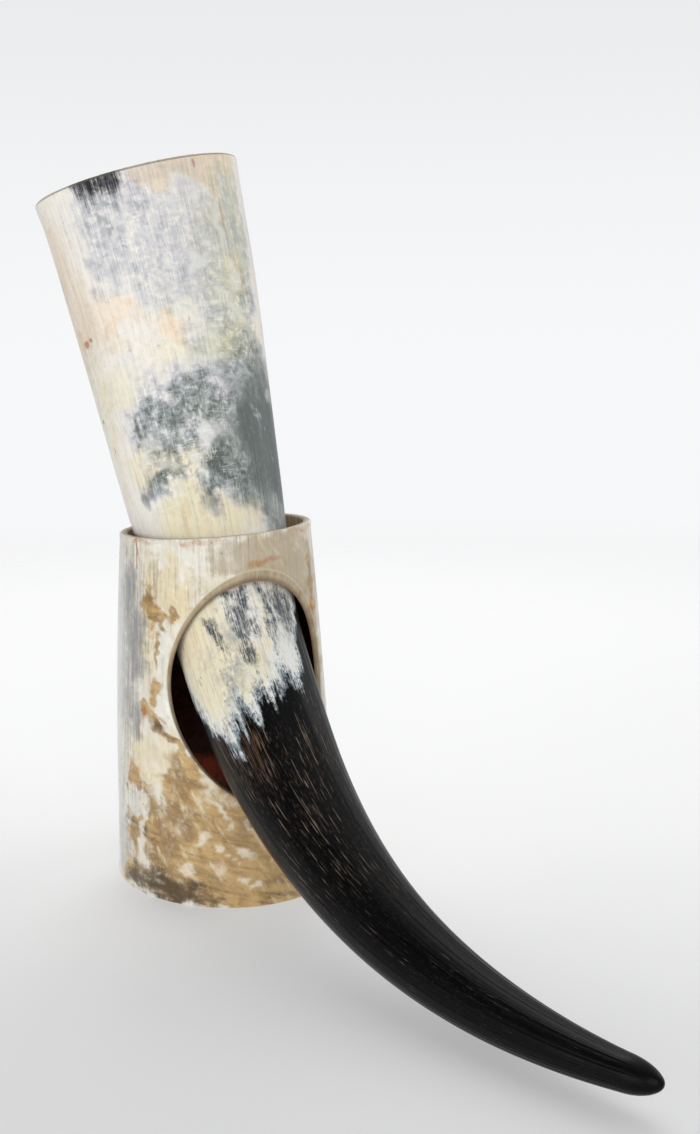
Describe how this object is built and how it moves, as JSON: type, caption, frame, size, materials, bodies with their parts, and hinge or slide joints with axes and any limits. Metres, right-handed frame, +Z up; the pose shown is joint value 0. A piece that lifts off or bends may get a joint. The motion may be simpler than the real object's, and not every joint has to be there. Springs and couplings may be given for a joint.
{
  "type": "drinking horn with stand",
  "caption": "Curved cattle drinking horn, hollow at the mouth and solid at the black tip, resting in a short horn tube stand with an oval window.",
  "frame": {"origin": "bottom centre of the whole object's box, on the plane that the stand's foot rests on", "axes": "+Z up; -Y is the way the stand's window faces and the horn's tip points; +X is to the right when looking along +Y"},
  "size_m": [0.0848, 0.2744, 0.2397],
  "materials": {
    "drinking_horn": "natural cattle horn polished to a satin, ivory and slate at the mouth and black at the tip",
    "horn_stand": "natural cattle horn polished to a satin, ivory with ochre, taupe and grey mottling"
  },
  "bodies": {
    "stand": {"horn_stand": "horn_stand"},
    "horn": {"drinking_horn": "drinking_horn"}
  },
  "joints": [
    {"name": "horn_draw", "type": "hinge", "parent": "stand", "child": "horn", "pos_m": [0.0473, -0.1079, 0.21], "axis": [0.9454, 0.2221, -0.2386], "range_deg": [0, 74]}
  ]
}
